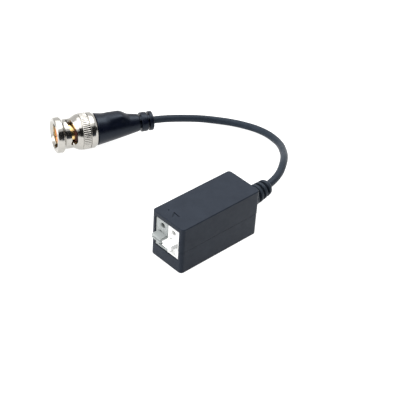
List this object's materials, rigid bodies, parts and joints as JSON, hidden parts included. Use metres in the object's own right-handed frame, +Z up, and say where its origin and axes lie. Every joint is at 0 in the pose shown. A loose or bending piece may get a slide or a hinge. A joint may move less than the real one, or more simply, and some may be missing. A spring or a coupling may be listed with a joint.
{
  "type": "cctv video balun",
  "caption": "Small clamshell case with a push terminal for twisted pair at one end and a short coaxial lead ending in a bayonet plug.",
  "frame": {"origin": "centre of the case's underside, the plane that the case rests on", "axes": "+Z up, +X along the case from the push terminal to the lead, +Y to the side where the lead curls back"},
  "size_m": [0.089, 0.0943, 0.0195],
  "materials": {
    "case_plastic": "fine satin moulding",
    "grey_module": "satin",
    "white_module": "satin",
    "spring_steel": "bright strip",
    "tinned_bar": "tin plated",
    "board": "solder mask",
    "ferrite": "sintered ferrite",
    "enamelled_wire": "lacquered",
    "component_black": "moulded epoxy",
    "component_tan": "ceramic",
    "cord_jacket": "soft satin",
    "boot_rubber": "soft satin",
    "nickel": "nickel plated, machined",
    "gold": "gold plated",
    "amber_insulator": "translucent",
    "dielectric": "foamed",
    "bare_wire": "tinned strands",
    "gasket": "silicone"
  },
  "bodies": {
    "case": {"lower_shell": "case_plastic", "upper_shell": "case_plastic", "cable_gland": "boot_rubber", "terminal_module_left": "grey_module", "terminal_module_right": "white_module", "contact_bar_left": "tinned_bar", "contact_bar_right": "tinned_bar", "clamp_spring_left": "spring_steel", "clamp_spring_right": "spring_steel", "circuit_board": "board", "choke_core": "ferrite", "choke_winding_line": "enamelled_wire", "choke_winding_coax": "enamelled_wire", "surge_diode": "component_black", "chip_capacitors": "component_tan", "cord_gland_end": "cord_jacket", "cord": "cord_jacket", "cord_plug_end": "cord_jacket", "coax_centre_lead": "dielectric", "coax_braid_lead": "bare_wire", "plug_dielectric": "dielectric", "gasket_ring": "gasket", "plug_body": "gold", "insulator": "amber_insulator", "centre_pin": "gold", "crimp_ferrule": "nickel", "spring_washer": "spring_steel", "plug_boot": "boot_rubber"},
    "left_tab": {"release_tab_left": "grey_module"},
    "right_tab": {"release_tab_right": "white_module"},
    "washer": {"thrust_washer": "spring_steel"},
    "nut": {"coupling_nut": "nickel", "retaining_ring": "spring_steel"}
  },
  "joints": [
    {"name": "left_tab_press", "type": "slide", "parent": "case", "child": "left_tab", "axis": [1, 0, 0], "range_m": [0, 0.0018], "stiffness_N_per_m": 1500, "springref_m": -0.0008, "deforming": ["clamp_spring_left"]},
    {"name": "right_tab_press", "type": "slide", "parent": "case", "child": "right_tab", "axis": [1, 0, 0], "range_m": [0, 0.0018], "stiffness_N_per_m": 1500, "springref_m": -0.0008, "deforming": ["clamp_spring_right"]},
    {"name": "nut_draw", "type": "slide", "parent": "case", "child": "washer", "axis": [-0.9239, 0.3827, 0], "range_m": [0, 0.001], "stiffness_N_per_m": 12000, "springref_m": -0.0003, "deforming": ["spring_washer"]},
    {"name": "nut_turn", "type": "hinge", "parent": "washer", "child": "nut", "pos_m": [-0.00006, 0.07666, 0.00735], "axis": [0.9239, -0.3827, 0], "continuous": true}
  ]
}
